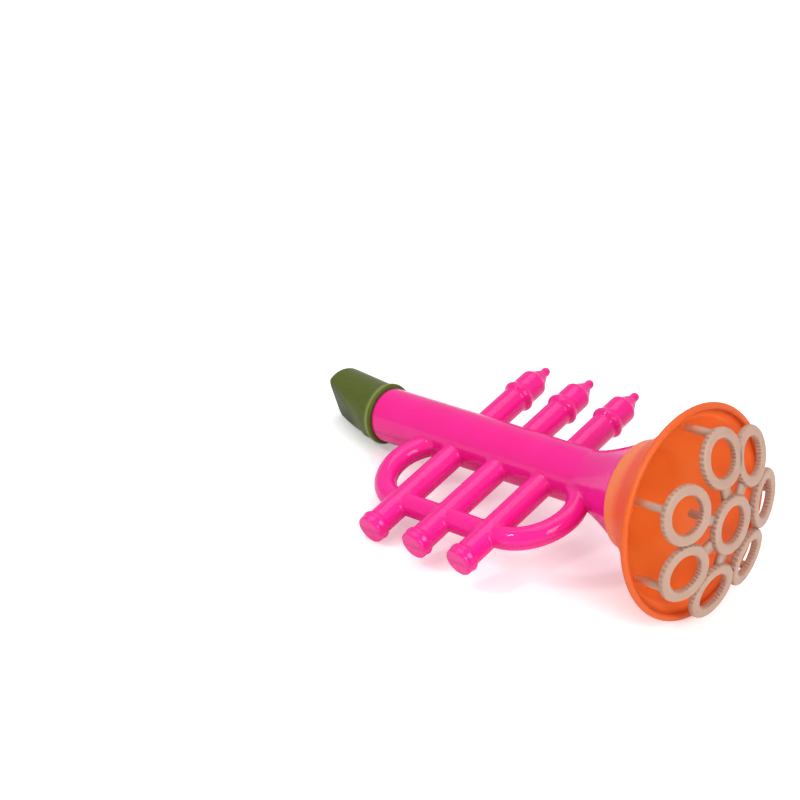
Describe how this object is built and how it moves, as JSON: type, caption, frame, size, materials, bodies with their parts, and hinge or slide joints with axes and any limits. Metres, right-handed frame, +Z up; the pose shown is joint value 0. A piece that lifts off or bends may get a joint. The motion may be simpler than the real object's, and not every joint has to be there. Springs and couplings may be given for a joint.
{
  "type": "bubble blower trumpet",
  "caption": "Toy trumpet for blowing bubbles: a bent beak mouthpiece, a tube with valve stems and a tubing loop, a flared bell and a domed head of rings.",
  "frame": {"origin": "centre of the bell mouth, on the trumpet's axis in the plane of the rim's bead", "axes": "the trumpet lies at rest on its bell rim, rear valve foot and mouthpiece: +Z up, +X the way the bell points along the floor, -Y the side of the tubing loop and the valve feet"},
  "size_m": [0.155, 0.0806, 0.0609],
  "materials": {
    "pink_plastic": "glossy blow-moulded polyethylene",
    "green_plastic": "satin moulded polyethylene",
    "orange_plastic": "satin moulded polyethylene",
    "milky_plastic": "natural milky polypropylene"
  },
  "bodies": {
    "body": {"body_tube": "pink_plastic", "valve_stem_1": "pink_plastic", "valve_stem_2": "pink_plastic", "valve_stem_3": "pink_plastic", "valve_cap_1": "pink_plastic", "valve_cap_2": "pink_plastic", "valve_cap_3": "pink_plastic", "tubing_loop": "pink_plastic"},
    "mouthpiece": {"mouthpiece": "green_plastic"},
    "bell": {"bell": "orange_plastic"},
    "ring_head": {"middle_ring": "milky_plastic", "outer_ring_1": "milky_plastic", "outer_ring_2": "milky_plastic", "outer_ring_3": "milky_plastic", "outer_ring_4": "milky_plastic", "outer_ring_5": "milky_plastic", "outer_ring_6": "milky_plastic", "outer_ring_7": "milky_plastic"}
  },
  "joints": [
    {"name": "mouthpiece_pull", "type": "slide", "parent": "body", "child": "mouthpiece", "axis": [-0.9858, 0, -0.168], "range_m": [0, 0.02]},
    {"name": "bell_pull", "type": "slide", "parent": "body", "child": "bell", "axis": [0.9858, 0, 0.168], "range_m": [0, 0.02]},
    {"name": "head_pull", "type": "slide", "parent": "bell", "child": "ring_head", "axis": [0.9858, 0, 0.168], "range_m": [0, 0.025]}
  ]
}
